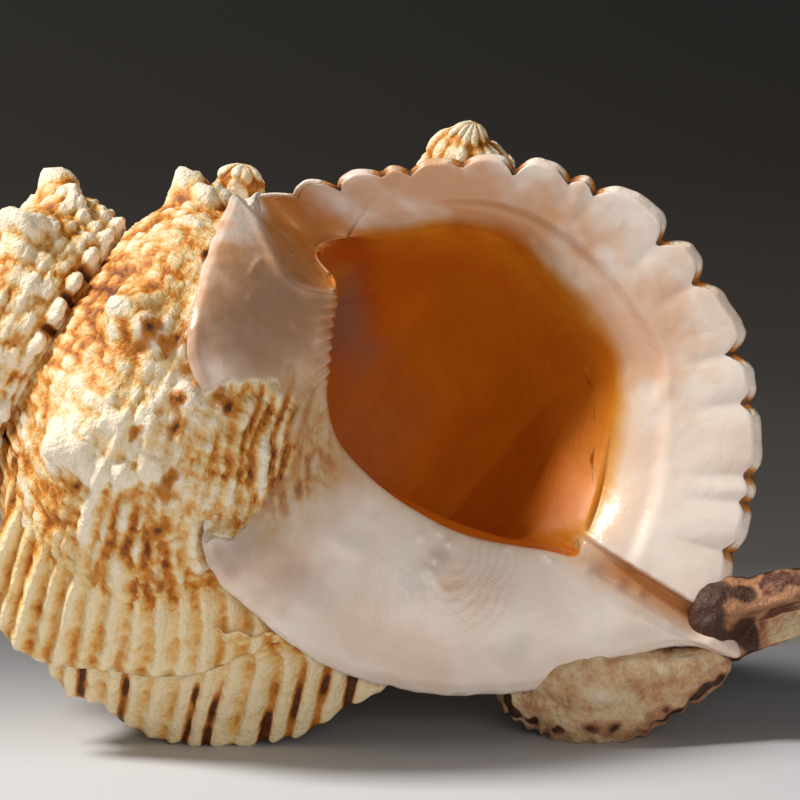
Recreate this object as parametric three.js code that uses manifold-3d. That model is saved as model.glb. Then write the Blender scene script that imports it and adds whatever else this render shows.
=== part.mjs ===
// Large frog shell lying on its side, mouth towards -Y, spire towards -X.
// Lengths are millimetres, angles are degrees, +Z is up.
import * as THREE from "three";
import { mergeVertices } from "three/addons/utils/BufferGeometryUtils.js";
import Module from "manifold-3d";

// coiling of the tube about the shell axis
const SPIRE_HEIGHT = 133.7;
const BODY_RADIUS = 63;
const APEX_OFFSET = -70;
const HEIGHT_RATE = 1.55;
const RADIUS_RATE = 1.5;
const WHORLS = 5;
const STEPS_PER_WHORL = 32;
// growth angle at which the coil ends and the mouth takes over
const COIL_END = -11.25;
// height below the shoulder at which the next whorl is laid on
const SUTURE_DROP = 32;
// unevenness of the coil: shift towards the spire, swelling, growth angle, spread in angle
const UNEVEN = [[6.5, 0, -218, 58], [-5, 3.5, -712, 70]];
// attitude of the shell axis as it lies
const AXIS_DIP = 26;
const AXIS_TURN = 6;
const NOSE_DOWN = 7.5;
// ornament
const KNOB_HEIGHT = 9;
const KNOB_RISE = -7;
const CORD_HEIGHT = 0.9;
const LIP_EDGE = 1.8;
const SCALLOP_DEPTH = 2.4;
const LOBE_LENGTH = 8.6;
const VARIX_THICKNESS = 3.4;
const CANAL_RADIUS = 7.6;
// steps smaller than this are smoothed away
const SMALLEST_STEP = 0.29;
// worn flats under the lowest tips
const WEAR_DEPTH = 1.5;

// wall profile under the shoulder at the mouth: drop, change of radius
const WALL = [[0, 0], [4, 1.2], [8, 1.7], [12, 1.8], [16, 1.6], [20, 1.2], [24, 0.4], [28, -1.2], [32, -3.5]];
const BASE = [[36, -6.7], [41, -11], [45.5, -16], [49, -22], [52, -29], [54, -35], [56.5, -48]];
const BASE_TIP = 57;
const RAMP_STEPS = 4;

// shoulder knobs of the last whorl: growth angle, size, spread in angle
const KNOBS = [
  [-26, 1.6, 12], [-70, 1.1, 9], [-115, 1.2, 9], [-158, 1.5, 10], [-203, 0.8, 9], [-257, 0.95, 8],
  [-292, 1.2, 9], [-350, 1.35, 9], [-712, 1.3, 8],
];
// knobs of the earlier whorls follow at an even step
const KNOB_STEP = 46.25;
for (let at = -396; at > -1500; at -= KNOB_STEP) {
  KNOBS.push([at, 1.2, 9]);
}
// knobs of the lower row, two thirds down the wall: growth angle, size, spread in angle
const LOW_KNOBS = [[-58, 0.6, 8], [-101, 0.7, 8], [-144, 1.2, 9], [-188, 0.4, 8]];
const LOW_ROW = 20;

// stations round the mouth: margin, then edge of the throat, each as distance along
// the axis, towards the outer lip and towards the viewer; the outer lip comes first
const MOUTH = [
  [24, 46, 0, 41, 45, 0],
  [39, 59, 0, 51, 52, -6],
  [61, 73, 0, 64, 60, -6],
  [75, 79, 0, 77, 62, -6],
  [98, 80, 0, 91, 57, -6],
  [119, 70, 0, 103, 50, -6],
  [129, 61, 0, 107, 44, -6],
  [141, 39, 0, 113, 27, -5],
  [145, 16, 0, 115, 14, 1],
  [152, 8, 4, 115, 11, 4],
  [139, 4, 6, 110, 10, 5],
  [120, -14, 12, 95, 6, 9],
  [101, -24, 16, 83, 6, 12],
  [82, -27, 23, 73, 8, 15],
  [63, -22, 36, 64, 12, 18],
  [52, -15, 47, 59, 18, 20],
  [48, 3, 48, 56, 25, 20],
  [34, 18, 47, 53, 32, 18],
  [27, 37, 29, 50, 38, 13],
  [24, 46, 14, 43, 41, 5],
];
const MARGIN = MOUTH.map((row) => row.slice(0, 3));
const THROAT = MOUTH.map((row) => row.slice(3));
const LIP_STATIONS = 9;
const FOLD_STATION = 19;
const MOUTH_CENTRE = [82, 32];
// section of the hollow tube, station for station: drop from the shoulder, radius at the mouth
const TUBE = [
  [-19, 41], [-11, 49], [2, 59], [11, 61], [26, 58], [37, 50], [41, 45], [48, 29], [50, 17],
  [48, 12], [44, 10], [32, 8], [18, 8], [8, 8], [0, 10], [-6, 15], [-9, 22], [-12, 30],
  [-17, 36], [-20, 39],
];
const TUBE_END = -380;
const TUBE_STEP = 18;

// free edges of the old lip: axis, towards the outer lip, towards the viewer
const OLD_LIP = [
  [29, -51, 20], [37, -56, 19], [45, -55, 18], [52, -56.5, 18], [60, -55.5, 18], [68, -53, 18],
  [76, -48, 17], [84, -41, 16], [89, -33, 15], [95, -27, 14],
];
const OLD_LEDGE = [
  [19, -46, 31], [25, -50, 31], [33, -50, 31], [44, -46, 31], [52, -43.5, 30], [60, -39, 29], [68, -31, 28],
];
// canal and its slit, and the older canal under it: axis, outward, viewer, radius
const CANAL = [
  [128, 6, -6, 9], [138, 9, -5, 8], [145, 12, -3, CANAL_RADIUS], [151, 16, -1.5, 7.4],
  [157, 21, -1, 6.8], [163, 26.5, -0.5, 6], [169, 32, 0, 5], [172.5, 35, 0.5, 3.8],
];
const SLIT = [
  [112, 13, 2, 5], [121, 10.5, 1.5, 3.6], [132, 9.5, 2.5, 2.9], [143, 9.5, 4, 2.6],
  [151, 11.5, 5, 2.6], [156, 15.5, 5.5, 2.8], [161, 20, 5.5, 3], [169, 27.5, 5, 3], [177, 35.5, 5, 3],
];
const OLD_CANAL = [
  [112, -16.5, 6, 4], [116.5, -15.5, 6.5, 6.2], [123, -15, 7, 7.4], [129.5, -14.5, 7.5, 8], [135.5, -11.5, 7.5, 7.2],
  [141, -6.5, 7.5, 5.8], [146.5, -0.5, 7, 4.2], [151.5, 6.5, 7, 2.3],
];
// knob standing behind the outer lip, and the small one beside the posterior notch
const LIP_KNOB = [
  [62, 54, -22, 11], [60.5, 64, -18, 10.5], [59.5, 71, -15, 9], [58, 76.5, -13, 6], [57.5, 80.5, -12, 2.6],
];
const NOTCH_KNOB = [[26, 38, -6, 8], [21.5, 45.5, -5, 6.2], [19.5, 50, -5, 4], [18.5, 52.5, -5, 2]];
const PILLAR = [[40, 0, 0, 9], [70, 0, 0, 9], [95, -1, -2, 10], [112, 1, -3, 11], [130, 5, -4, 9]];

const wasm = await Module();
wasm.setup();

const rad = (d) => (d * Math.PI) / 180;
const radiusScale = (t) => RADIUS_RATE ** (t / 360);
const bump = (d, w) => Math.exp(-(d / w) * (d / w));
const drift = (t) => UNEVEN.reduce((sum, [shift, , at, wide]) => sum + shift * bump(t - at, wide), 0);
const swelling = (t) => UNEVEN.reduce((sum, [, more, at, wide]) => sum + more * bump(t - at, wide), 0);
const shoulderHeight = (t) => APEX_OFFSET + SPIRE_HEIGHT * HEIGHT_RATE ** (t / 360) - drift(t);
const sutureHeight = (t) => shoulderHeight(t) + SUTURE_DROP * radiusScale(t) - drift(t + 360);
const shoulderRadius = (t) => BODY_RADIUS * radiusScale(t) + swelling(t);

// point in shell axes from height, radius and turn about the axis
function polar(h, r, turn) {
  return [h, r * Math.cos(rad(turn)), r * Math.sin(rad(turn))];
}

// closed solid from points and triangles, turned to face outward
function solid(points, triangles) {
  let volume = 0;
  for (const [a, b, c] of triangles) {
    const [p, q, s] = [points[a], points[b], points[c]];
    volume += p[0] * (q[1] * s[2] - q[2] * s[1]) - p[1] * (q[0] * s[2] - q[2] * s[0])
      + p[2] * (q[0] * s[1] - q[1] * s[0]);
  }
  const faces = volume < 0 ? triangles.map(([a, b, c]) => [a, c, b]) : triangles;
  const mesh = new wasm.Mesh({
    numProp: 3,
    vertProperties: Float32Array.from(points.flat()),
    triVerts: Uint32Array.from(faces.flat()),
  });
  return new wasm.Manifold(mesh);
}

// solid through a row of closed rings with equal counts, closed by a point at each end
function ringSolid(rings) {
  const n = rings[0].length;
  const mean = (ring) => [0, 1, 2].map((k) => ring.reduce((sum, p) => sum + p[k], 0) / n);
  const points = rings.flat();
  const triangles = [];
  for (let i = 0; i + 1 < rings.length; i++) {
    for (let j = 0; j < n; j++) {
      const k = (j + 1) % n;
      triangles.push([i * n + j, i * n + k, (i + 1) * n + k]);
      triangles.push([i * n + j, (i + 1) * n + k, (i + 1) * n + j]);
    }
  }
  const first = points.push(mean(rings[0])) - 1;
  const last = points.push(mean(rings[rings.length - 1])) - 1;
  const top = (rings.length - 1) * n;
  for (let j = 0; j < n; j++) {
    const k = (j + 1) % n;
    triangles.push([first, k, j]);
    triangles.push([last, top + j, top + k]);
  }
  return solid(points, triangles);
}

// smooth curve value between listed points at place t, open or closed
function curveAt(list, t, closed) {
  const n = list.length;
  const pick = (i) => (closed ? list[((i % n) + n) % n] : list[Math.min(n - 1, Math.max(0, i))]);
  const i = Math.floor(t);
  const s = t - i;
  const [p, q, r, w] = [pick(i - 1), pick(i), pick(i + 1), pick(i + 2)];
  return q.map((v, k) => 0.5 * (2 * v + (r[k] - p[k]) * s + (2 * p[k] - 5 * v + 4 * r[k] - w[k]) * s * s
    + (3 * v - p[k] - 3 * r[k] + w[k]) * s * s * s));
}

// outward push of the knobs and cords at growth angle t and place s down the profile
function ornament(t, s) {
  const size = radiusScale(t);
  let push = 0;
  for (const [at, tall, wide] of KNOBS) {
    push += KNOB_HEIGHT * tall * bump(t - at, wide) * bump(s - KNOB_RISE, 7);
  }
  for (const [at, tall, wide] of LOW_KNOBS) {
    push += KNOB_HEIGHT * tall * bump(t - at, wide) * bump(s - LOW_ROW, 6);
  }
  const cord = s > 6 ? CORD_HEIGHT * Math.cos((2 * Math.PI * (s - 8)) / 8) : 0;
  return (push + cord) * size;
}

// outer profile of one growth angle: ramp, wall and base as points of height and radius
function profile(t) {
  const size = radiusScale(t);
  const back = radiusScale(t - 360);
  const top = [sutureHeight(t - 360), shoulderRadius(t - 360) - 3.5 * back];
  const bottom = [shoulderHeight(t), shoulderRadius(t)];
  const reach = (sutureHeight(t) - bottom[0]) / SUTURE_DROP;
  const points = [];
  for (let k = 0; k < RAMP_STEPS; k++) {
    const f = k / RAMP_STEPS;
    const push = k === 0 ? 0 : ornament(t, -24 * (1 - f));
    const collar = k === 0 ? 0 : 1.5 * size * Math.sin(Math.PI * f);
    points.push([
      top[0] + (bottom[0] - top[0]) * f - (push + collar) * 0.6,
      top[1] + (bottom[1] - top[1]) * f + (push + collar) * 0.6,
    ]);
  }
  for (const [drop, change] of WALL) {
    const push = drop === SUTURE_DROP ? 0 : ornament(t, drop);
    points.push([bottom[0] + drop * reach, bottom[1] + change * size + push]);
  }
  for (const [drop, change] of BASE) {
    const push = drop % 2 ? 0.4 * size : 0;
    points.push([bottom[0] + drop * size, bottom[1] + change * size + push]);
  }
  points.push([bottom[0] + BASE_TIP * size, 0]);
  return points;
}

// coiled body: a strip wound round the axis, sharing its edge with the whorl before
function coiledBody() {
  const steps = WHORLS * STEPS_PER_WHORL;
  const turnOf = (i) => COIL_END + ((i - steps) * 360) / STEPS_PER_WHORL;
  const wallEnd = RAMP_STEPS + WALL.length - 1;
  const count = wallEnd + BASE.length + 2;
  const points = [];
  const ids = [];
  for (let i = 0; i <= steps; i++) {
    const t = turnOf(i);
    const row = profile(t);
    const last = i >= steps - STEPS_PER_WHORL ? count : wallEnd + 1;
    ids.push([]);
    for (let j = 0; j < last; j++) {
      const shared = j === 0 && i >= STEPS_PER_WHORL;
      if (shared) {
        ids[i].push(ids[i - STEPS_PER_WHORL][wallEnd]);
      } else {
        ids[i].push(points.push(polar(row[j][0], row[j][1], t)) - 1);
      }
    }
  }
  const triangles = [];
  for (let i = 0; i < steps; i++) {
    const last = Math.min(ids[i].length, ids[i + 1].length);
    for (let j = 0; j + 1 < last; j++) {
      const [a, b, c, d] = [ids[i][j], ids[i][j + 1], ids[i + 1][j + 1], ids[i + 1][j]];
      triangles.push([a, b, c], [a, c, d]);
    }
  }
  closeApex(points, triangles, ids);
  closeMouth(points, triangles, ids, wallEnd, steps);
  return solid(points, triangles);
}

// small fan over the first whorl, from the free edge and the first section
function closeApex(points, triangles, ids) {
  const tip = points.push([points[ids[0][0]][0] - 1, 0, 0]) - 1;
  for (let i = 0; i < STEPS_PER_WHORL; i++) {
    triangles.push([tip, ids[i][0], ids[i + 1][0]]);
  }
  const section = ids[0];
  for (let j = 0; j + 1 < section.length; j++) {
    triangles.push([tip, section[j + 1], section[j]]);
  }
}

// flat wall across the tube at the mouth, bounded by the wall, the axis and the whorl behind
function closeMouth(points, triangles, ids, wallEnd, steps) {
  const front = ids[steps].slice(1);
  const axis = [];
  for (let i = steps - 1; i > steps - STEPS_PER_WHORL; i--) {
    axis.push(ids[i][ids[i].length - 1]);
  }
  const back = ids[steps - STEPS_PER_WHORL].slice(wallEnd).reverse();
  const loop = [...front, ...axis, ...back];
  const flat = loop.map((id) => new THREE.Vector2(points[id][0], Math.hypot(points[id][1], points[id][2])));
  for (const [a, b, c] of THREE.ShapeUtils.triangulateShape(flat, [])) {
    triangles.push([loop[a], loop[c], loop[b]]);
  }
}

// places round the mouth: three to each lobe of the lip, then two to each station
function mouthPlaces() {
  const places = [];
  const fine = 0.01;
  let travelled = 0;
  let before = curveAt(MARGIN, 0, true);
  for (let t = 0; t < LIP_STATIONS; t += fine) {
    const here = curveAt(MARGIN, t, true);
    travelled += Math.hypot(here[0] - before[0], here[1] - before[1]);
    before = here;
    if (travelled >= (places.length * LOBE_LENGTH) / 3) {
      places.push({ t, notch: places.length % 3 === 0 });
    }
  }
  for (let t = LIP_STATIONS; t < MOUTH.length; t += 0.5) {
    places.push({ t, notch: false });
  }
  return places;
}

// edge of the throat, drawn in towards the middle of the mouth and moved along the view
function throatRing(places, scale, shift) {
  return places.map((t) => {
    const p = curveAt(THROAT, t, true);
    const [h, u] = MOUTH_CENTRE;
    return [h + (p[0] - h) * scale, u + (p[1] - u) * scale, p[2] * scale + shift];
  });
}

// swelling of the inner lip, crest of the fold and groove of the posterior notch
function swell(t) {
  if (t === FOLD_STATION) {
    return 2.4;
  }
  if (t > FOLD_STATION + 0.4 || t < 0.3) {
    return -1.2;
  }
  return t >= LIP_STATIONS ? 1.6 : 0.5;
}

// peristome: a bell whose front runs from the margin to the throat
function peristome() {
  const places = mouthPlaces();
  const turns = places.map((place) => place.t);
  const ring = (part, shift, puff) => turns.map((t) => {
    const m = curveAt(MARGIN, t, true);
    const p = curveAt(THROAT, t, true).map((v, k) => v + (m[k] - v) * part);
    return [p[0], p[1], p[2] + shift + puff * swell(t)];
  });
  const lobed = (points) => points.map((p, i) => {
    const [h, u] = MOUTH_CENTRE;
    const far = Math.hypot(p[0] - h, p[1] - u);
    const f = places[i].notch ? (far - SCALLOP_DEPTH) / far : 1;
    return [h + (p[0] - h) * f, u + (p[1] - u) * f, p[2]];
  });
  return ringSolid([
    throatRing(turns, 0.5, -6),
    throatRing(turns, 0.94, -6),
    throatRing(turns, 0.98, -2.5),
    ring(0.12, 0, 1),
    ring(0.4, 0, 2),
    ring(0.7, 0, 2.2),
    ring(0.92, 0, 1),
    lobed(ring(1, 0, 0)),
    lobed(ring(0.985, -LIP_EDGE, 0)),
    ring(0.86, -6, 0),
    ring(0.5, -13, 0),
    ring(0.04, -20, 0),
    throatRing(turns, 0.74, -34),
    throatRing(turns, 0.3, -40),
  ]);
}

// hollow of the tube from the throat back round the axis
function hollow() {
  const turns = Array.from({ length: 1.5 * MOUTH.length }, (_, i) => i / 1.5);
  const rings = [[0.86, 30], [0.86, 0], [0.93, -6]].map(([k, v]) => throatRing(turns, k, v));
  for (let t = -TUBE_STEP; t >= TUBE_END; t -= TUBE_STEP) {
    const size = radiusScale(t) * (t < TUBE_END + TUBE_STEP ? 0.6 : 1);
    rings.push(turns.map((i) => {
      const [drop, r] = curveAt(TUBE, i, true);
      return polar(shoulderHeight(t) + drop * size, r * size, t);
    }));
  }
  return ringSolid(rings);
}

// radius of the coiled wall at a growth angle and height
function wallRadius(t, h) {
  const line = profile(t);
  if (h < line[0][0]) {
    return wallRadius(t - 360, h);
  }
  for (let i = 0; i + 1 < line.length; i++) {
    const [a, b] = [line[i], line[i + 1]];
    if (h >= a[0] && h < b[0]) {
      return a[1] + ((b[1] - a[1]) * (h - a[0])) / (b[0] - a[0]);
    }
  }
  return 0;
}

// raised edge of an older lip: root inside the wall, four-sided section along the free edge
function oldEdge(edge, lean, thick) {
  const last = edge.length - 1;
  const rings = [];
  for (let i = 0; i <= 3 * last; i++) {
    const t = i / 3;
    const [h, u, v] = curveAt(edge, t, false);
    const r = Math.hypot(u, v);
    const turn = (Math.atan2(v, u) * 180) / Math.PI;
    const lobe = i % 3 === 0 ? 1.4 : 0;
    const ends = Math.min(1, (t + 0.15) * 1.2, (last - t + 0.15) * 1.2);
    const root = Math.max(8, Math.min(r - 12, wallRadius(turn - 360, h - 3) - 4));
    const side = ((thick * ends) / r) * 57.3;
    const top = root + (r + lobe - root) * (0.45 + 0.55 * ends);
    rings.push([
      polar(h - 3, root, turn + lean + 2.2 * side),
      polar(h, top - 1.2, turn + 0.45 * side),
      polar(h, top, turn),
      polar(h, top - 1.2, turn - 0.45 * side),
      polar(h - 3, root, turn + lean - 2.2 * side),
    ]);
  }
  return ringSolid(rings);
}

// round rod along listed points with a radius at each
function rod(path, sides, flatten) {
  const curve = [];
  for (let i = 0; i <= 2 * (path.length - 1); i++) {
    curve.push(curveAt(path, i / 2, false));
  }
  const rings = curve.map((p, i) => {
    const a = curve[Math.max(0, i - 1)];
    const b = curve[Math.min(curve.length - 1, i + 1)];
    const along = new THREE.Vector3(b[0] - a[0], b[1] - a[1], b[2] - a[2]).normalize();
    const side = new THREE.Vector3(0, 0, 1).cross(along).normalize();
    const up = along.clone().cross(side);
    return Array.from({ length: sides }, (_, k) => {
      const c = p[3] * Math.cos((2 * Math.PI * k) / sides);
      const s = p[3] * flatten * Math.sin((2 * Math.PI * k) / sides);
      return [0, 1, 2].map((m) => p[m] + side.getComponent(m) * c + up.getComponent(m) * s);
    });
  });
  return ringSolid(rings);
}

// shell axes to world axes, as the shell lies
function lyingFrame() {
  const [dip, turn, nose] = [rad(AXIS_DIP), rad(AXIS_TURN), rad(NOSE_DOWN)];
  const axis = new THREE.Vector3(
    Math.cos(dip) * Math.cos(turn), -Math.cos(dip) * Math.sin(turn), -Math.sin(dip));
  const out = new THREE.Vector3(
    Math.sin(dip) * Math.cos(turn), -Math.sin(dip) * Math.sin(turn), Math.cos(dip));
  const view = new THREE.Vector3(-Math.sin(turn), -Math.cos(turn), 0);
  const frame = new THREE.Matrix4().makeBasis(axis, out, view);
  return new THREE.Matrix4().makeRotationX(-nose).multiply(frame);
}

// closed solid from a box geometry, its corners merged
function boxSolid(box) {
  box.deleteAttribute("normal");
  box.deleteAttribute("uv");
  const merged = mergeVertices(box);
  const place = merged.getAttribute("position");
  const index = merged.getIndex();
  const points = Array.from({ length: place.count }, (_, i) => [place.getX(i), place.getY(i), place.getZ(i)]);
  const triangles = Array.from({ length: index.count / 3 }, (_, i) => [
    index.getX(3 * i), index.getX(3 * i + 1), index.getX(3 * i + 2),
  ]);
  return solid(points, triangles);
}

// lowest tips worn flat by the surface that the shell lies on
function wearTips(body) {
  const low = body.boundingBox().min[2] + WEAR_DEPTH;
  const surface = new THREE.BoxGeometry(600, 600, 100);
  surface.translate(0, 0, low - 50);
  return body.subtract(boxSolid(surface));
}

// geometry of a finished body, its middle over the origin and its flats at z = 0
function setDown(body) {
  const mesh = body.getMesh();
  const { min, max } = body.boundingBox();
  const geometry = new THREE.BufferGeometry();
  const positions = Float32Array.from(mesh.vertProperties);
  geometry.setAttribute("position", new THREE.BufferAttribute(positions, 3));
  geometry.setIndex(new THREE.BufferAttribute(Uint32Array.from(mesh.triVerts), 1));
  geometry.translate(-(min[0] + max[0]) / 2, -(min[1] + max[1]) / 2, -min[2]);
  return geometry;
}

function buildShell() {
  const grown = coiledBody()
    .add(peristome())
    .add(oldEdge(OLD_LIP, -4, VARIX_THICKNESS))
    .add(oldEdge(OLD_LEDGE, -3, VARIX_THICKNESS))
    .add(rod(PILLAR, 8, 1))
    .add(rod(LIP_KNOB, 8, 0.9))
    .add(rod(NOTCH_KNOB, 8, 1))
    .add(rod(CANAL, 12, 1))
    .add(rod(OLD_CANAL, 12, 1.6));
  const opened = grown.subtract(hollow()).subtract(rod(SLIT, 10, 1.4));
  const pieces = opened.simplify(SMALLEST_STEP).decompose();
  pieces.sort((a, b) => b.volume() - a.volume());
  return setDown(wearTips(pieces[0].transform(lyingFrame().elements)));
}

const material = new THREE.MeshStandardMaterial({ color: 0xe9d3b4, roughness: 0.45, metalness: 0 });
const shell = new THREE.Mesh(buildShell(), material);
shell.name = "shell";
const root = new THREE.Group();
root.add(shell);
export default root;
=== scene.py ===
import math
import bpy
import numpy as np
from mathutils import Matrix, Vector


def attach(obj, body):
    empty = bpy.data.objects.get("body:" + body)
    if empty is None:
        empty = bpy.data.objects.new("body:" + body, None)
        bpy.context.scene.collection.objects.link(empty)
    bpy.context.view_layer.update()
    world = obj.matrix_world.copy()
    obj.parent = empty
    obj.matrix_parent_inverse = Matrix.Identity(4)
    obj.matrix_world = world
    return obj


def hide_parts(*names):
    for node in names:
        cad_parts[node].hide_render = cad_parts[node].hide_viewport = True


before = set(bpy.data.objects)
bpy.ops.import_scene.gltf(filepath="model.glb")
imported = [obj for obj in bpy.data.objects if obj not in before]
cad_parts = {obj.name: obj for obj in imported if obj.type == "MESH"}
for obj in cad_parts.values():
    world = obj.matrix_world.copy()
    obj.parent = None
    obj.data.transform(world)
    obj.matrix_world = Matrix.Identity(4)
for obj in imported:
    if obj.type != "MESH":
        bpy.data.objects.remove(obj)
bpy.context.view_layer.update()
scene = bpy.context.scene

# The camera looks at the mouth from just above the height of the shell, as the photograph does.
# Its lens takes in 160 mm across at the mouth, so the tip of the spire falls outside on the left.
EYE = (0.0136, -0.6520, 0.1505)
LOOK_DOWN = math.radians(7.5)
MOUTH_DISTANCE, MOUTH_WIDTH = 0.650, 0.160
camera_data = bpy.data.cameras.new("camera")
camera_data.angle = 2 * math.atan(MOUTH_WIDTH / 2 / MOUTH_DISTANCE)
camera = bpy.data.objects.new("camera", camera_data)
camera.location = EYE
camera.rotation_euler = (math.pi / 2 - LOOK_DOWN, 0, 0)
scene.collection.objects.link(camera)
scene.camera = camera
scene.view_settings.view_transform = "Standard"


# A pale table top that turns up into a dark grey backdrop, in one matt sheet of card.
# The fall-off of the light behind the shell is painted into the card: it darkens with its own depth.
def linear(code):
    """sRGB hex colour as linear red, green, blue and full cover."""
    parts = [int(code[i:i + 2], 16) / 255 for i in (1, 3, 5)]
    return [p / 12.92 if p <= 0.04045 else ((p + 0.055) / 1.055) ** 2.4 for p in parts] + [1]


def add(tree, kind, settings=(), out=0, **links):
    """One shader node with its settings and inputs, by name or number (i0); gives back an output."""
    made = tree.nodes.new("ShaderNode" + kind)
    for name, value in dict(settings).items():
        if name != "stops":
            setattr(made, name, value)
            continue
        ramp = made.color_ramp.elements
        ramp.remove(ramp[1])
        for i, (place, code) in enumerate(value):
            stop = ramp.new(place) if i else ramp[0]
            stop.position = place
            stop.color = linear(code)
    for name, value in links.items():
        numbered = name[0] == "i" and name[1:].isdigit()
        socket = made.inputs[int(name[1:]) if numbered else name.replace("_", " ")]
        if isinstance(value, bpy.types.NodeSocket):
            tree.links.new(value, socket)
        else:
            socket.default_value = value
    return made.outputs[out] if made.outputs else None


def new_material(name):
    """Material without nodes, and its node tree."""
    made = bpy.data.materials.new(name)
    made.use_nodes = True
    made.node_tree.nodes.clear()
    return made, made.node_tree


# tones of the card, with the fall-off of the light painted in, by its depth behind the shell and its height
# added together, in metres
CARD_NEAR, CARD_FAR = -0.10, 1.0
CARD_FALLOFF_STOPS = [(0.0, "#D0D3D9"), (0.05, "#CCCFD5"), (0.10, "#A8AAAF"), (0.135, "#84868A"), (0.16, "#747475"),
              (0.25, "#4C4947"), (0.34, "#454240"), (0.54, "#413E3B"), (0.72, "#322F2C"), (0.84, "#201D1A"),
              (1.0, "#0F0D0A")]
card, tree = new_material("matt card with painted falloff")
position = add(tree, "NewGeometry", out="Position")
y, z = (add(tree, "SeparateXYZ", out=k, i0=position) for k in (1, 2))
depth = add(tree, "Math", {"operation": "ADD"}, i0=y, i1=z)
depth = add(tree, "MapRange", i0=depth, i1=CARD_NEAR, i2=CARD_FAR)
tone = add(tree, "ValToRGB", {"stops": CARD_FALLOFF_STOPS}, i0=depth)
shader = add(tree, "BsdfPrincipled", Base_Color=tone, Roughness=0.8)
add(tree, "OutputMaterial", Surface=shader)

SWEEP_HALF_WIDTH, SWEEP_FRONT, SWEEP_BACK, SWEEP_BEND, SWEEP_RISE = 3.0, -2.0, 0.55, 0.35, 1.6
turns = np.linspace(0, math.pi / 2, 24)
side_line = [(SWEEP_FRONT, 0)]
side_line += [(SWEEP_BACK + SWEEP_BEND * math.sin(a), SWEEP_BEND * (1 - math.cos(a))) for a in turns]
side_line += [(SWEEP_BACK + SWEEP_BEND, SWEEP_RISE)]
sweep_points = [(x, y, z) for y, z in side_line for x in (-SWEEP_HALF_WIDTH, SWEEP_HALF_WIDTH)]
sweep_faces = [(2 * i, 2 * i + 1, 2 * i + 3, 2 * i + 2) for i in range(len(side_line) - 1)]
sweep_mesh = bpy.data.meshes.new("backdrop")
sweep_mesh.from_pydata(sweep_points, [], sweep_faces)
sweep_mesh.materials.append(card)
sweep_mesh.polygons.foreach_set("use_smooth", [True] * len(sweep_mesh.polygons))
sweep = bpy.data.objects.new("backdrop", sweep_mesh)
scene.collection.objects.link(sweep)


# Soft studio light: a warm main lamp high on the left, a weak wide one low in front and a dim
# room. Both lamps point at the middle of the shell.
LAMP_TARGET = Vector((0, 0, 0.06))
ROOM_LIGHT = 0.42


def lamp(name, place, size, power, code):
    data = bpy.data.lights.new(name, "AREA")
    data.shape = "RECTANGLE"
    data.size, data.size_y = size
    data.energy = power
    data.color = linear(code)[:3]
    made = bpy.data.objects.new(name, data)
    made.location = place
    made.rotation_euler = (LAMP_TARGET - Vector(place)).to_track_quat("-Z", "Y").to_euler()
    scene.collection.objects.link(made)


lamp("main lamp", (-0.74, 0.01, 0.88), (0.24, 0.24), 16, "#FFFAF3")
lamp("front lamp", (0.30, -1.3, 0.34), (0.9, 0.7), 5.6, "#FFF6EC")
world = bpy.data.worlds.new("room")
world.use_nodes = True
world.node_tree.nodes["Background"].inputs[0].default_value = linear("#8C8A88")
world.node_tree.nodes["Background"].inputs[1].default_value = ROOM_LIGHT
scene.world = world


# The coil: a tube wound five times round the shell's axis, each turn half as large again.
# It is worked out in the shell's own axes: millimetres along its axis towards the canal, out
# towards the lip, and towards the viewer of the mouth. It lies dipping to the right, nose down.
AXIS_DIP, AXIS_TURN, NOSE_DOWN = (math.radians(a) for a in (26, 6, 7.5))
ORIGIN = np.array([-59.06, 2.75, 73.72])
SPIRE_HEIGHT, BODY_RADIUS, APEX_OFFSET = 133.7, 63, -70
HEIGHT_RATE, RADIUS_RATE = 1.55, 1.5
SUTURE_DROP = 32
# uneven growth: shift towards the spire, swelling, growth angle, spread in angle
UNEVEN = [(6.5, 0, -218, 58), (-5, 3.5, -712, 70)]
# drop below the shoulder and change of radius, at full size
WALL = [(0, 0), (4, 1.2), (8, 1.7), (12, 1.8), (16, 1.6), (20, 1.2), (24, 0.4), (28, -1.2), (32, -3.5)]
BASE = [(36, -6.7), (41, -11), (45.5, -16), (49, -22), (52, -29), (54, -35), (56.5, -48), (57, -63)]
BASE_DROP = BASE[-1][0]
# the wall's top runs up to the whorl before in a slightly swollen collar
COLLAR_DROP, COLLAR_SWELL = -24, 0.9


def lying(points):
    """Points in the shell's own axes as metres in the frame, none below the table."""
    cos, sin = math.cos, math.sin
    axis = (cos(AXIS_DIP) * cos(AXIS_TURN), -cos(AXIS_DIP) * sin(AXIS_TURN), -sin(AXIS_DIP))
    out = (sin(AXIS_DIP) * cos(AXIS_TURN), -sin(AXIS_DIP) * sin(AXIS_TURN), cos(AXIS_DIP))
    view = (-sin(AXIS_TURN), -cos(AXIS_TURN), 0)
    turned = points @ np.array([axis, out, view])
    x, y, z = turned[..., 0], turned[..., 1], turned[..., 2]
    ahead, lifted = y * cos(NOSE_DOWN) + z * sin(NOSE_DOWN), z * cos(NOSE_DOWN) - y * sin(NOSE_DOWN)
    placed = (np.stack([x, ahead, lifted], -1) + ORIGIN) / 1000
    placed[..., 2] = np.maximum(placed[..., 2], 0)
    return placed


def bump(distance, width):
    """Bell curve, 1 at its middle."""
    return np.exp(-(distance / width) ** 2)


def dome(away):
    """Half a ball over its distance in radii."""
    return np.sqrt(np.clip(1 - away ** 2, 0, 1))


def ease(low, high, value):
    """Smooth step from 0 at low to 1 at high."""
    f = np.clip((value - low) / (high - low), 0, 1)
    return f * f * (3 - 2 * f)


def within(value, a, b, c, d):
    """1 from b to c, easing to 0 at a and at d."""
    return ease(a, b, value) * ease(d, c, value)


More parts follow.
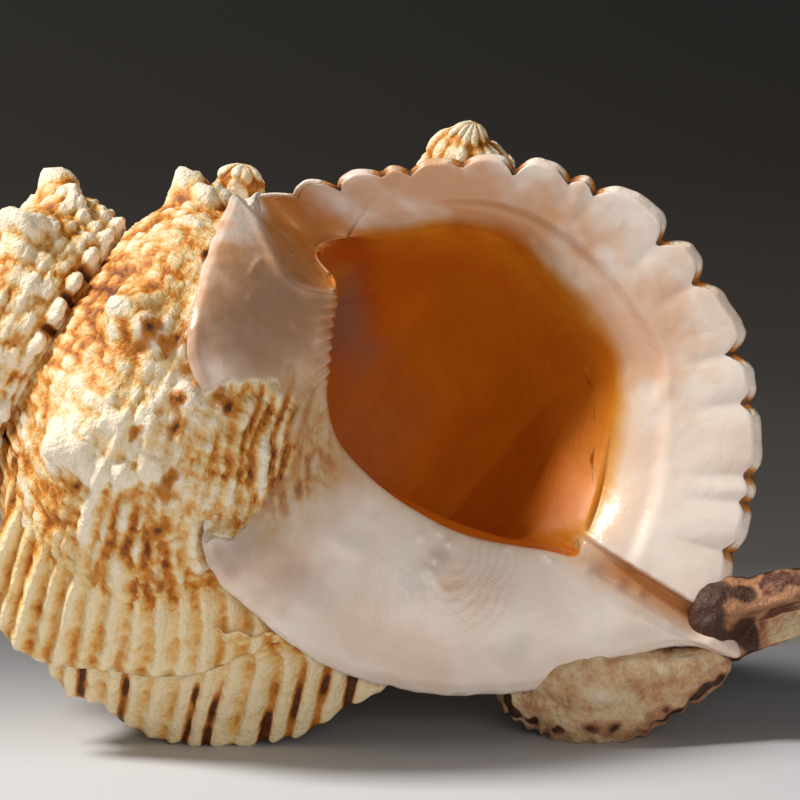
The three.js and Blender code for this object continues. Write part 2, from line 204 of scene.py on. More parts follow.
def smooth_line(rows, at, closed=False):
    """Catmull-Rom curve through rows, read at the places at."""
    rows = np.asarray(rows, float)
    at = np.asarray(at, float)
    i = np.floor(at).astype(int)
    s = (at - i).reshape([-1] + [1] * (rows.ndim - 1))
    n = len(rows)
    p, q, r, w = (rows[(i + k) % n] if closed else rows[np.clip(i + k, 0, n - 1)] for k in (-1, 0, 1, 2))
    curve = 2 * q + (r - p) * s + (2 * p - 5 * q + 4 * r - w) * s ** 2
    return 0.5 * (curve + (3 * q - p - 3 * r + w) * s ** 3)


def growth(t):
    return RADIUS_RATE ** (t / 360)


def drift(t):
    return sum(shift * bump(t - at, wide) for shift, _, at, wide in UNEVEN)


def shoulder_height(t):
    return APEX_OFFSET + SPIRE_HEIGHT * HEIGHT_RATE ** (t / 360) - drift(t)


def suture_height(t):
    return shoulder_height(t) + SUTURE_DROP * growth(t) - drift(t + 360)


def shoulder_radius(t):
    return BODY_RADIUS * growth(t) + sum(more * bump(t - at, wide) for _, more, at, wide in UNEVEN)


def around(h, r, turn):
    """Points from height, radius and turn about the axis in degrees."""
    return np.stack([h + 0 * turn, r * np.cos(np.radians(turn)), r * np.sin(np.radians(turn))], -1)


def profile(t):
    """Guide points of the outside at growth angles t: drop, height and radius, suture to base."""
    size, back = growth(t), growth(t - 360)
    top = suture_height(t - 360), shoulder_radius(t - 360) + WALL[-1][1] * back
    shoulder = shoulder_height(t), shoulder_radius(t)
    reach = (suture_height(t) - shoulder[0]) / SUTURE_DROP
    rows = []
    for f in (0, 0.25, 0.5, 0.75):
        collar = COLLAR_SWELL * size * math.sin(math.pi * f)
        rows.append((COLLAR_DROP * (1 - f), top[0] + (shoulder[0] - top[0]) * f - collar,
                     top[1] + (shoulder[1] - top[1]) * f + collar))
    rows += [(drop, shoulder[0] + drop * reach, shoulder[1] + change * size) for drop, change in WALL]
    rows += [(drop, shoulder[0] + drop * size, shoulder[1] + change * size) for drop, change in BASE[:-1]]
    rows.append((BASE_DROP, shoulder[0] + BASE_DROP * size, 0 * t))
    return np.array([[np.broadcast_to(v, np.shape(t)) for v in row] for row in rows])


# The sculpture of the outside: knobs on the shoulder, ribs that run with the coil, loose rows of
# grains and fine growth lines. It gives a push outwards and what the stains follow.
# distance along the coil in radii, and along the shoulder for one degree in mm
COIL_STRETCH, DEGREE_RUN = 15.5, 1.1
# knobs of the shoulder: growth angle, size, spread in angle
KNOBS = [(-26, 1.6, 12), (-70, 0.62, 9), (-115, 1.2, 9), (-158, 1.5, 10), (-203, 0.8, 9), (-257, 0.5, 8),
         (-293, 0.45, 8), (-353, 0.95, 7)]
# those of the spire follow at an even step
KNOBS += [(at, 1.2, 9) for at in np.arange(-396, -1500, -46.25)]
LOW_KNOBS = [(-58, 0.6, 8), (-101, 0.7, 8), (-144, 1.2, 9), (-188, 0.4, 8)]
KNOB_HEIGHT, KNOB_RISE, KNOB_WIDTH, LOW_ROW = 9, -3, 6, 20
BOSS_RADIUS, BOSS_HEIGHT = 3.4, 2.6
RIB_PITCH, RIB_FAN, FAN_ANGLE, FAN_REACH = 9.2, 0.010, -244, 45
BEAD_TURN, BEAD_ROW = 13, 27
# where the coarse sculpture of the spire takes over, in growth angle
OLDER_START, OLDER_FULL = -350, -520
# rows of grains: distance along the coil and across it in mm, seed
COARSE_GRAINS, FINE_GRAINS = (4.6, 3.9, 5), (2.3, 2.0, 9)
# single nodules: growth angle, drop, radius and height in mm
NODULES = [(-291, 4, 2.6, 1.8), (-256, 6.5, 3.2, 2.2), (-258, 13, 2.6, 1.9), (-268, 5, 2.2, 1.2),
           (-272, 13, 2.4, 1.3), (-346, 2, 2.6, 2.2), (-355, 6, 2.8, 2.4), (-706, 3, 2.2, 2.0),
           (-700, 8, 2.2, 1.8), (-303, 14, 2.6, 1.4), (-281, 20, 2.6, 1.5), (-262, 19, 2.4, 1.3)]
# brown blotches: growth angle, drop, radius in mm
BLOTCHES = [(-250, 26.2, 2.8), (-262, 24.7, 3.2), (-251, 3.4, 1.8), (-293, 12, 3.2), (-284, 2.5, 2.4),
            (-300, 17, 3.5), (-268, 12, 2.2), (-236, 30, 3), (-231, 15, 2.4), (-318, 10, 3), (-345, 8, 2.5),
            (-291, 5, 3.2), (-286, 4, 3), (-289, 10, 2.6), (-279, 19, 3.2), (-288, 18, 2.8), (-273, 21, 2.8),
            (-286, 22.5, 3.2), (-285, 27, 2.8), (-284, 31.5, 2.4), (-293, 20, 3), (-690, 2, 2.2)]


def chance(*cells):
    """Repeatable number from 0 to 1 for whole-number cells."""
    mixed = np.zeros(np.shape(cells[0]), np.uint32)
    primes = (2654435761, 2246822519, 3266489917, 668265263)
    for cell, prime in zip(cells, primes):
        mixed = mixed ^ (np.asarray(cell).astype(np.int64) & 0xFFFFFFFF).astype(np.uint32) * np.uint32(prime)
        mixed = (mixed ^ (mixed >> np.uint32(15))) * np.uint32(2246822519)
    return (mixed ^ (mixed >> np.uint32(13))) / 4294967295.0


def noise(points, size, seed=0):
    """Smooth noise from -1 to 1 over points in millimetres, its lumps about size across."""
    scaled = np.asarray(points, float) / size
    cell = np.floor(scaled).astype(np.int64)
    f = scaled - cell
    f = f * f * (3 - 2 * f)
    seeds = np.full(cell.shape[:-1], seed)
    total = 0
    for corner in np.ndindex(2, 2, 2):
        weight = np.prod([f[..., k] if c else 1 - f[..., k] for k, c in enumerate(corner)], axis=0)
        total = total + weight * chance(*(cell[..., k] + c for k, c in enumerate(corner)), seeds)
    return 2 * total - 1


def grains(a, b, pitch_a, pitch_b, seed, spread=0.35):
    """Round grains in loose rows: height from 0 to 1 over two coordinates in millimetres."""
    x, y = a / pitch_a, b / pitch_b
    best = np.zeros(np.shape(x))
    for dx in (-1, 0, 1):
        for dy in (-1, 0, 1):
            i, j = np.floor(x) + dx, np.floor(y) + dy
            draw = [chance(i, j, np.full(np.shape(i), seed + k)) for k in range(4)]
            off_x = x - i - 0.5 - spread * (draw[0] - 0.5) * 2
            off_y = y - j - 0.5 - spread * (draw[1] - 0.5)
            away = np.hypot(off_x, off_y) / (0.34 + 0.24 * draw[2])
            best = np.maximum(best, dome(away) * (0.4 + 0.6 * draw[3]))
    return best


def rib_place(t, s, points):
    """Place across the ribs, counted in ribs: they waver, and fan out towards the old lips."""
    s = s + 1.1 * noise(points, 18, 2) + 0.5 * noise(points, 6, 8)
    swing = FAN_REACH * np.tanh((t - FAN_ANGLE) / FAN_REACH) * bump(t - FAN_ANGLE, 90)
    return (3 + (s - 3) / (1 + RIB_FAN * swing)) / RIB_PITCH


def bosses(t, s, size):
    """Swelling of the shoulder knobs, and height of the bosses and nodules, both as shares."""
    knob, boss = 0, 0
    for at, tall, wide in KNOBS:
        knob = knob + tall * bump(t - at, wide) * bump(s - KNOB_RISE, KNOB_WIDTH)
        for k in range(4):
            draw = [float(chance(round(at), k, j)) for j in range(3)]
            far, wide_boss = (0, 1) if k == 0 else (4.6 + 2.4 * draw[0], 0.42 + 0.2 * draw[1])
            along = (t - at) * DEGREE_RUN * size - far * math.cos(2 * math.pi * draw[2]) * size
            down = (s - KNOB_RISE) * size - far * math.sin(2 * math.pi * draw[2]) * size
            away = np.hypot(along, down) / (BOSS_RADIUS * wide_boss * size ** 0.5)
            boss = np.maximum(boss, wide_boss * dome(away))
    for at, drop, radius, tall in NODULES:
        away = np.hypot((t - at) * DEGREE_RUN * size, (s - drop) * size) / radius
        boss = np.maximum(boss, tall / BOSS_HEIGHT / size ** 0.5 * dome(away))
    return knob, boss


def suture_beads(t, s, older):
    """Beads that hang over the suture in a chain, and the dark gaps between them, as shares."""
    link = t / BEAD_TURN
    off_link = link - np.round(link)
    bead = dome(np.hypot(off_link / 0.36, (s - BEAD_ROW) / 3.2))
    chain = older * bead * ease(0.15, 0.3, chance(np.round(link), 2 + 0 * s))
    at_suture = np.maximum(older * ease(23, 27, s), ease(-19.5, -21.5, s))
    open_links = chance(np.floor(link), 5 + 0 * s) > 0.35
    return chain, at_suture * ease(0.3, 0.42, np.abs(off_link)) * open_links


def ornament(t, s, points):
    """Push outwards in mm, crest (0 in a groove, 1 on a ridge) and stain at growth angle t, drop s."""
    size = growth(t)
    run, across = BODY_RADIUS * size * COIL_STRETCH, s * size
    older = ease(OLDER_START, OLDER_FULL, t)
    wobble = noise(points, 14, 1)
    knob, boss = bosses(t, s, size)
    low = sum(tall * bump(t - at, wide) * bump(s - LOW_ROW, KNOB_WIDTH) for at, tall, wide in LOW_KNOBS)
    place = rib_place(t, s, points)
    broken = 0.78 + 0.4 * noise(np.stack([run / 5.5, np.round(place), 0 * s], -1), 1, 15)
    ridge = bump((place - np.round(place)) * RIB_PITCH, 2.2) * broken
    thread = bump((place - np.floor(place) - 0.5) * RIB_PITCH, 1.5) * (1.5 - broken)
    near_lips = np.maximum(ease(-285, -262, t), ease(16, 26, s))
    ribbed = ease(2, 8, s) * (1 - 0.4 * older) * (0.3 + 0.7 * near_lips)
    between = 1.0 + 1.2 * within(t, -262, -235, -200, -170)
    cords = ribbed * (1 + 0.35 * wobble) * (2.4 * ridge + between * thread - 0.9) * size
    coarse = grains(run, across, *COARSE_GRAINS)
    fine = grains(run + 9, across + 3, *FINE_GRAINS)
    grainy = older * 1.4 + (1 - older) * (0.35 * ease(6, -2, s) + 0.35)
    lumps = grainy * coarse * (0.8 + 0.4 * wobble) + 0.5 * fine
    lines = np.stack([run, 0.15 * across, 0 * s], -1)
    growth_lines = 0.22 * noise(lines, 1.7, 3) + 0.3 * noise(lines, 6, 4)
    rough = 0.4 * noise(points, 3.5, 6) + 0.12 * noise(points, 1.8, 7)
    chain, gap = suture_beads(t, s, older)
    seam = ease(-24, -21, s) * (1 - ease(29.5, 32, s) * older)
    fold = cords + lumps + growth_lines + rough + BOSS_HEIGHT * boss * size ** 0.5 + 1.7 * chain
    push = KNOB_HEIGHT * (knob * np.where(s < 0, 0.85, 1.0) + low) * size + fold * seam - 0.7 * gap
    worn = np.clip(0.6 + 1.3 * noise(points, 11, 17), 0.15, 1.2)
    ribs_show = 0.75 * ribbed * (ridge + 0.8 * thread - 0.4) * worn
    grains_show = 0.55 * np.minimum(grainy, 1) * (coarse - 0.3) + 0.25 * (fine - 0.35)
    crest = 0.42 - 0.12 * worn + ribs_show + grains_show + 0.6 * boss + 0.6 * chain
    stain = gap
    ragged = 0.45 * noise(points, 2.4, 12) + 0.3 * noise(points, 1.1, 13)
    for at, drop, radius in BLOTCHES:
        away = np.hypot((t - at) * DEGREE_RUN * size * 0.8, (s - drop) * size) / radius
        stain = np.maximum(stain, np.clip(0.9 - away, -0.5, 0.9) + ragged)
    return push, np.clip(crest, 0, 1), np.clip(stain, 0, 1)


# Chalky shell: cream and white on the crests, orange to deep brown where dirt and colour sit in
# the grooves, yellower towards the old lips. Only grains under a millimetre are left to the bump.
CHALK_STOPS = [(0.05, "#6A300C"), (0.20, "#A4601C"), (0.33, "#CC8028"), (0.44, "#DCA860"), (0.58, "#E9CC98"),
               (0.80, "#F5E8D0")]
YELLOWED, RUSTY, SOAKED = "#F4E2A6", "#C07622", "#4F2709"
# sizes in mm of drifts of colour, patches, specks, small bumps and pores, and a mm in metres
DRIFT, PATCH, SPECK, PIMPLE, PORE = 20, 5, 0.9, 1.8, 0.4
MM = 0.001
SMOOTH = {"interpolation_type": "SMOOTHSTEP"}
BLEND = {"data_type": "RGBA"}
WASH = {"data_type": "RGBA", "blend_type": "MULTIPLY"}
SCALED_SUM = {"operation": "MULTIPLY_ADD"}


def chalk_look(tree):
    """Colour and height in mm of the fine grain of chalky shell, from the marks on the mesh."""
    place = add(tree, "TexCoord", out="Object")
    mm = add(tree, "VectorMath", {"operation": "SCALE"}, i0=place, i3=1000)
    wide = add(tree, "TexNoise", Vector=mm, Scale=1 / DRIFT, Detail=3)
    patch = add(tree, "TexNoise", Vector=mm, Scale=1 / PATCH, Detail=5, Roughness=0.65)
    speck = add(tree, "TexNoise", Vector=mm, Scale=1 / SPECK, Detail=3)
    crest = add(tree, "Attribute", {"attribute_name": "crest"}, out="Fac")
    marks = add(tree, "Attribute", {"attribute_name": "marks"}, out="Vector")
    stain, yellow, pale = (add(tree, "SeparateXYZ", out=k, i0=marks) for k in range(3))
    tone = add(tree, "Math", SCALED_SUM, i0=crest, i1=1.1, i2=-0.66)
    for part, share in ((wide, 0.6), (patch, 0.55), (speck, 0.3), (pale, 0.2)):
        tone = add(tree, "Math", SCALED_SUM, i0=part, i1=share, i2=tone)
    colour = add(tree, "ValToRGB", {"stops": CHALK_STOPS}, i0=tone)
    shade = add(tree, "Math", {"operation": "MULTIPLY"}, i0=yellow, i1=0.75)
    ragged = add(tree, "Math", SCALED_SUM, i0=patch, i1=0.9, i2=stain)
    halo = add(tree, "MapRange", SMOOTH, i0=ragged, i1=0.6, i2=1.0)
    soaked = add(tree, "MapRange", SMOOTH, i0=ragged, i1=0.95, i2=1.4)
    for mix, mask, code in ((WASH, shade, YELLOWED), (BLEND, halo, RUSTY), (BLEND, soaked, SOAKED)):
        colour = add(tree, "Mix", mix, out=2, i0=mask, i6=colour, i7=linear(code))
    pores = add(tree, "TexNoise", Vector=mm, Scale=1 / PORE, Detail=2)
    bumps = add(tree, "TexNoise", Vector=mm, Scale=1 / PIMPLE, Detail=2)
    grain = add(tree, "Math", {"operation": "MULTIPLY"}, i0=speck, i1=0.25)
    grain = add(tree, "Math", SCALED_SUM, i0=bumps, i1=0.5, i2=grain)
    grain = add(tree, "Math", SCALED_SUM, i0=pores, i1=0.12, i2=grain)
    return colour, grain


def finish(tree, colour, grain, roughness, shine=0.5):
    """Surface of a material, from its colour and the height of its grain in mm."""
    normal = add(tree, "Bump", Strength=1.0, Distance=MM, Height=grain)
    shader = add(tree, "BsdfPrincipled", Base_Color=colour, Roughness=roughness, Normal=normal,
                 Specular_IOR_Level=shine)
    add(tree, "OutputMaterial", Surface=shader)


chalk, tree = new_material("weathered shell")
colour, grain = chalk_look(tree)
finish(tree, colour, grain, roughness=0.5, shine=0.3)


def sheet(name, grid, values, wrapped=False, keep=None, ends=()):
    """Mesh object from a grid of points in the shell's axes, with its named values on the points.

    Faces outside keep are left out, and the rows in ends are closed with a fan.
    """
    rows, columns = grid.shape[:2]
    ids = np.arange(rows * columns).reshape(rows, columns)
    right = np.roll(ids, -1, 1) if wrapped else ids[:, 1:]
    left = ids if wrapped else ids[:, :-1]
    faces = np.stack([left[:-1], right[:-1], right[1:], left[1:]], -1)
    if keep is not None:
        faces = faces[keep[:-1, :faces.shape[1]] & keep[1:, :faces.shape[1]]]
    faces = faces.reshape(-1, 4).tolist()
    points = lying(grid).reshape(-1, 3)
    data = {key: np.asarray(value).reshape(rows * columns, -1) for key, value in values.items()}
    for row in ends:
        ring = ids[row]
        points = np.vstack([points, points[ring].mean(0)])
        data = {key: np.vstack([value, value[ring].mean(0)]) for key, value in data.items()}
        fan = [(ring[k], ring[(k + 1) % columns], len(points) - 1) for k in range(columns)]
        faces += [tuple(int(v) for v in (f if row else f[::-1])) for f in fan]
    mesh = bpy.data.meshes.new(name)
    mesh.from_pydata(points.tolist(), [], faces)
    for key, value in data.items():
        kind = "FLOAT" if value.shape[1] == 1 else "FLOAT_VECTOR"
        layer = mesh.attributes.new(key, kind, "POINT")
        layer.data.foreach_set("value" if kind == "FLOAT" else "vector", value.astype(np.float32).ravel())
    mesh.polygons.foreach_set("use_smooth", [True] * len(mesh.polygons))
    made = bpy.data.objects.new(name, mesh)
    scene.collection.objects.link(made)
    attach(made, "root")
    return made


# The mouth: a bell of porcelain shell. Its front runs from the scalloped margin to the throat,
# and on into the tube that winds back round the axis; its back is chalky like the whorls.
# stations round the mouth: margin, then edge of the throat, along the axis, outward and to the viewer
MOUTH = np.array([
    (24, 46, 0, 41, 45, 0), (39, 59, 0, 51, 52, -6), (61, 73, 0, 64, 60, -6),
    (75, 79, 0, 77, 62, -6), (98, 80, 0, 91, 57, -6), (119, 70, 0, 103, 50, -6),
    (129, 61, 0, 107, 44, -6), (141, 39, 0, 113, 27, -5), (145, 16, 0, 115, 14, 1),
    (152, 8, 4, 115, 11, 4), (139, 4, 6, 110, 10, 5), (120, -14, 12, 95, 6, 9), (101, -24, 16, 83, 6, 12),
    (82, -27, 23, 73, 8, 15), (63, -22, 36, 64, 12, 18), (52, -15, 47, 59, 18, 20),
    (48, 3, 48, 56, 25, 20), (34, 18, 47, 53, 32, 18), (27, 37, 29, 50, 38, 13),
    (24, 46, 14, 43, 41, 5)], float)
LIP_STATIONS, STATIONS = 9, len(MOUTH)
MOUTH_CENTRE = np.array([82, 32])
# section of the tube, by station: along the axis from the shoulder, and outward, at full size
TUBE = [(-19, 41), (-11, 49), (2, 59), (11, 60), (26, 57), (37, 49), (41, 44), (48, 29), (50, 17),
        (48, 12), (44, 10), (32, 8), (18, 8), (8, 8), (0, 10), (-6, 15), (-9, 22), (-12, 30), (-17, 36),
        (-20, 39)]
TUBE_END, TUBE_STEP, THROAT_STEP = -380, 18, -9
# notches of the outer lip: distance along the margin from the one before, depth
NOTCHES = [(8.9, 2.4), (9.1, 3.4), (10.1, 1.7), (5.8, 2.0), (10.9, 1.5), (11.2, 3.4), (11.7, 2.1),
           (5.8, 2.7), (17.8, 4.0), (11.3, 3.5), (16.9, 3.4), (10.4, 2.0), (14.9, 1.9), (5.4, 1.5),
           (10.6, 1.9)]
NOTCH_REACH, LIP_EDGE, EDGE_PLACE = 4.6, 2.2, 0.985
# height that the front bulges between throat and margin, by station
SWELL = [(0, -1.2), (0.3, -0.8), (1, 0.5), (8.5, 0.5), (9.5, 1.6), (18.4, 1.6), (19, 2.4), (19.45, -0.6),
         (20, -1.2)]
# its strength, and how deep the throat's edge is rounded, the lobes pleated and the roof stepped
PUFF, THROAT_ROUNDING, PLEAT, ROOF_STEP = 2.1, 3.0, 0.9, 1.3
MOUTH_COLUMNS, TEETH_PITCH, TEETH_HEIGHT = 540, 2.3, 0.45
# crest of the fold from the tip of the ear to the throat, with the drop of the groove beside it
FOLD = [(25, 48.5, 2), (31.3, 43.7, 5), (35.3, 41, 7), (39, 38.4, 8.5), (42.5, 36.6, 9), (46.5, 36.4, 8),
        (50, 37.6, 4)]
FOLD_WIDTH, FOLD_STEPS = 3.0, 90
# small raised features: along the axis, outward, radius along, radius outward, height
BUMPS = [(50.8, 37.8, 1.8, 1.5, 2.2), (110.6, 9.3, 1.6, 1.3, 1.4), (118.6, 10.6, 1.7, 1.2, 1.6),
         (125, 10.4, 1.5, 1.3, 1.7), (129.6, 10.6, 1.3, 1.1, 1.5), (102.6, 7.4, 1.2, 1, 1),
         (75, -5.2, 5, 2.5, 1), (89.3, 4.6, 1.3, 1.2, 0.8), (92, 3.6, 1.5, 1.3, 0.9),
         (91, -0.4, 1.7, 1.3, 1), (91.3, -3, 1.8, 1.4, 0.8), (50.8, 17.5, 2.2, 1.2, 0.9),
         (86.5, 2.2, 1.2, 1, 0.5), (116, 48, 1.7, 4, 0.5)]
# patches of peach, amber and grey: along the axis, outward, two radii, strength. Besides real flushes and
# spots they hold painted shade, where the ear and the top of the outer lip are tinted darker tan and grey as
# they face away from the main lamp, and painted glow, where the pocket beside the fold is tinted amber for
# light shining through the thin shell.
PEACH_AND_SHADE = [(40, 30, 20, 20, 0.9), (64, -14, 13, 10, 0.5), (50, 57, 9, 4, 0.7), (60, 14, 16, 22, 0.7),
         (62, 67, 36, 10, 0.9), (106, 56, 16, 18, 0.7), (42, 46, 11, 7, 1.0), (44, 58, 7, 5, 0.8),
         (52, 54, 8, 5, 0.5), (78, 71.5, 12, 2.2, 0.7), (105, 65, 6, 5, 0.6), (110, 57, 6, 5, 0.5),
         (92, -19, 16, 6, 0.35), (84, -14, 8, 5, 0.2), (97, -4, 4, 3, 0.5), (121, 24, 5, 14, 0.3),
         (118, 36, 5, 8, 0.35)]
AMBER_GLOW_AND_SHADE = [(44.5, 39.5, 5, 3, 0.9), (60, 15, 15, 20, 0.38), (40, 30, 14, 12, 0.3), (49, 31, 7, 6, 0.5),
         (42, 25, 9, 10, 0.25)]
GREY_AND_SHADE = [(92, 0.5, 2.2, 5, 0.25), (42, 27, 13, 14, 0.5), (113, -10, 4, 4, 0.25), (90, -6, 3, 5, 0.15),
        (58, -11, 8, 8, 0.5), (70, -15, 8, 6, 0.25)]
# slit that runs from the throat out along the canal
SLIT_START, SLIT_END, SLIT_DEPTH = np.array([116, 13.0]), np.array([143, 10.6]), 5.5
# ripples of the callus: centre of their rings, patch where they show, distance between them
RIPPLE_RINGS, RIPPLE_PATCH, RIPPLE_PITCH = (93, 2, 1, 1.25), (101.5, -1, 6.5, 6.5 / 0.6), 1.9


def run_along(line):
    """Distance of each point of a line from its start."""
    return np.concatenate([[0], np.cumsum(np.linalg.norm(np.diff(line, axis=0), axis=1))])


fine_places = np.linspace(0, STATIONS, 4001)
margin_line = smooth_line(MOUTH[:, :3], fine_places, True)
travelled = run_along(margin_line)
station = np.interp(np.linspace(0, travelled[-1], MOUTH_COLUMNS, endpoint=False), travelled, fine_places)
edge_run = np.interp(station, fine_places, travelled)
margin = smooth_line(MOUTH[:, :3], station, True)
throat = smooth_line(MOUTH[:, 3:], station, True)
outer_lip = within(station, 0.2, 0.8, LIP_STATIONS - 0.6, LIP_STATIONS + 0.2)
inner_lip = within(station, 9.2, 10, 19.1, 19.6)
swell = np.interp(station, *zip(*SWELL))
notch = 0.35 * noise(margin, 5, 31) + 0.2 * noise(margin, 2, 32)
notched = 0 * station
for place, (_, deep) in zip(np.cumsum([gap for gap, _ in NOTCHES]), NOTCHES):
    near = np.clip(1 - np.abs(edge_run - place) / NOTCH_REACH, 0, 1) ** 1.9
    notch = notch + deep * near
    notched = np.maximum(notched, near)


def front(w):
    """Front of the lip at each station: w is 0 at the throat and 1 at the margin."""
    p = throat + (margin - throat) * w
    p[:, 2] += PUFF * (4 * w * (1 - w)) ** 0.7 * swell
    p[:, 2] -= THROAT_ROUNDING * outer_lip * np.clip(1 - w / 0.3, 0, 1) ** 2
    p[:, 2] -= outer_lip * (PLEAT * notched - 0.35) * ease(0.45, 0.9, w) + 0.5 * ease(0.95, 1, w)
    p[:, 2] -= ROOF_STEP * within(station, 1.5, 2.5, 7.6, 8.6) * ease(0.42, 0.30, w)
    return p


def drawn_in(points, away):
    """Points moved towards the middle of the mouth by a distance."""
    flat = points[:, :2] - MOUTH_CENTRE
    far = np.linalg.norm(flat, axis=1, keepdims=True)
    moved = points.copy()
    moved[:, :2] = MOUTH_CENTRE + flat * (1 - np.reshape(away, (-1, 1)) / far)
    return moved


def throat_ring(shift):
    """First ring of the tube: it widens behind the inner lip and follows the coil under the outer."""
    p = throat.copy()
    p[:, :2] = MOUTH_CENTRE + (p[:, :2] - MOUTH_CENTRE) * (0.965 + 0.085 * inner_lip[:, None])
    p[:, 2] += shift
    radius, turn = np.hypot(throat[:, 1], throat[:, 2]), np.degrees(np.arctan2(throat[:, 2], throat[:, 1]))
    coiled = around(p[:, 0], radius * 0.975, turn + shift)
    outer = within(station, 0.2, 1.2, 7.2, 8.6)[:, None]
    return p + (coiled - p) * outer


def behind(w, shift):
    """Back of the lip at each station: w as for the front, shift along the view."""
    p = throat + (margin - throat) * w
    p[:, 2] += shift
    return p


def tube_ring(t):
    """Ring of the tube at growth angle t; the last one closes in."""
    size = growth(t) * (0.6 if t < TUBE_END + TUBE_STEP else 1)
    section = smooth_line(TUBE, station, True) * size
    turn = np.full(len(station), float(t))
    return around(shoulder_height(t) + section[:, 0], section[:, 1], turn)


# where the back of the bell runs in under the last whorl, and by the axis on the inner side
TUCK_ANGLE, TUCK_DEPTH, AXIS_RADIUS, AXIS_SWING, EDGE_ROWS = -24, 1.6, 4.5, 36, 12
under = profile(np.array([float(TUCK_ANGLE)]))[:, :, 0]
tucked = np.maximum(np.interp(throat[:, 0], under[:, 1], under[:, 2]) - TUCK_DEPTH, 2)
tucked += (AXIS_RADIUS - tucked) * inner_lip
tuck = around(throat[:, 0], tucked, TUCK_ANGLE - AXIS_SWING * inner_lip)
# the ear's back stands a little further out than the rest
ear = within(station, 17.8, 18.6, 19.7, 19.95)
back_guides = np.array([tuck, drawn_in(behind(0.5, -13), -6 * ear), drawn_in(behind(0.86, -6), -1.5 * ear),
                        drawn_in(behind(EDGE_PLACE, -LIP_EDGE), notch)])
back_places = np.concatenate([np.linspace(0, 2, 26, endpoint=False), np.linspace(2, 2.97, EDGE_ROWS)])
back_rings = smooth_line(back_guides, back_places)
edge_rings = []
for a in np.linspace(-70, 70, 5):
    p = drawn_in(behind(1, -LIP_EDGE / 2), notch - 0.9 * math.cos(math.radians(a)))
    p[:, 2] += LIP_EDGE / 2 * math.sin(math.radians(a)) - 0.5
    edge_rings.append(p)
toothed = within(station, 15.3, 15.9, 18.2, 18.6)
teeth = TEETH_HEIGHT * np.sin(2 * math.pi * run_along(throat) / TEETH_PITCH) * toothed
front_places = EDGE_PLACE * (1 - np.linspace(0, 1, 48) ** 1.15)
front_rings = []
for w in front_places:
    front_rings.append(drawn_in(front(w), notch * ease(0.6, 1, w) + teeth * ease(0.15, 0, w)))
front_rings = np.array(front_rings)


def radii_off(points, h, u, wide_h, wide_u):
    """Distance of points from a place on the mouth, counted in its two radii."""
    return np.hypot((points[..., 0] - h) / wide_h, (points[..., 1] - u) / wide_u)


def fields(points, rows):
    """Strongest of the elliptical patches in rows, over points in the shell's axes."""
    best = 0
    ragged = 0.3 * noise(points, 6, 41) + 0.2 * noise(points, 2.2, 42)
    for *patch, strength in rows:
        best = np.maximum(best, strength * ease(1.3, 0.3, radii_off(points, *patch) + ragged))
    return best


def unit(rows):
    """Rows scaled to a length of 1."""
    return rows / np.linalg.norm(rows, axis=1, keepdims=True)


def beside_line(points, line):
    """Signed distance from a line on the canal side, and place along it from 0 to 1."""
    fine = smooth_line(line, np.linspace(0, len(line) - 1, FOLD_STEPS))
    gap = points[..., None, :2] - fine[:, :2]
    nearest = np.argmin(np.hypot(gap[..., 0], gap[..., 1]), -1)
    tangent = unit(np.gradient(fine[:, :2], axis=0))
    chosen = np.take_along_axis(gap, nearest[..., None, None], -2)[..., 0, :]
    across = chosen[..., 1] * tangent[nearest, 0] - chosen[..., 0] * tangent[nearest, 1]
    return across, fine[nearest, 2], nearest / (FOLD_STEPS - 1)


for rings in (back_rings, front_rings):
    fold_away, fold_drop, fold_place = beside_line(rings, FOLD)
    x = np.maximum(fold_away, 0) / FOLD_WIDTH
    rings[..., 2] -= fold_drop * x * np.exp(1 - x) * ease(1, 0.93, fold_place)
front_rings[..., 2] += 1.1 * bump(fold_away + 0.3, 1.0) * ease(1, 0.9, fold_place)
for *patch, tall in BUMPS:
    front_rings[..., 2] += tall * bump(radii_off(front_rings, *patch), 0.8)
ripple_reach = radii_off(front_rings, *RIPPLE_RINGS) + 1.5 * noise(front_rings, 7, 44)
ripple_zone = bump(radii_off(front_rings, *RIPPLE_PATCH), 1)
ripple = np.cos(2 * math.pi * ripple_reach / RIPPLE_PITCH) * ripple_zone
front_rings[..., 2] += 0.12 * ripple
slit_line = (SLIT_END - SLIT_START) / np.linalg.norm(SLIT_END - SLIT_START)
along = (front_rings[..., :2] - SLIT_START) @ slit_line
aside = (front_rings[..., :2] - SLIT_START) @ np.array([-slit_line[1], slit_line[0]])
slit = within(along, -6, 10, 26, 31) * within(aside, -5.5, 0.5, 1.4, 2.6)
front_rings[..., 2] -= SLIT_DEPTH * slit

# the inner lip lies on the whorl before it as a glaze, thin enough for the ribs to show through
SKIN_ANGLES, SKIN_HEIGHTS = np.arange(-375.0, -149), np.arange(-10.0, 100)
# how far to the viewer's side of the axis it starts
MOUTH_SIDE = 8
# where it is thin, and where it has run out: along the axis, outward, two radii, and how far out
THIN_PATCH, BARE_PATCH, BARE_REACH = (57, 7, 13.5, 17), (48, 1, 9, 14), 0.95
skin_guides = profile(SKIN_ANGLES)
skin_radius = np.array([np.interp(SKIN_HEIGHTS, skin_guides[:, 1, k], skin_guides[:, 2, k], right=0)
                        for k in range(len(SKIN_ANGLES))])


def under_skin(points):
    """Growth angle, drop and radius of the last whorl under points on the mouth side."""
    t = np.degrees(np.arctan2(points[..., 2], points[..., 1])) - 360
    i = np.clip(t - SKIN_ANGLES[0], 0, len(SKIN_ANGLES) - 1.001)
    j = np.clip(points[..., 0] - SKIN_HEIGHTS[0], 0, len(SKIN_HEIGHTS) - 1.001)
    i0, j0 = i.astype(int), j.astype(int)
    fi, fj = i - i0, j - j0
    low = skin_radius[i0, j0] * (1 - fj) + skin_radius[i0, j0 + 1] * fj
    high = skin_radius[i0 + 1, j0] * (1 - fj) + skin_radius[i0 + 1, j0 + 1] * fj
    return t, (points[..., 0] - shoulder_height(t)) / growth(t), low * (1 - fi) + high * fi


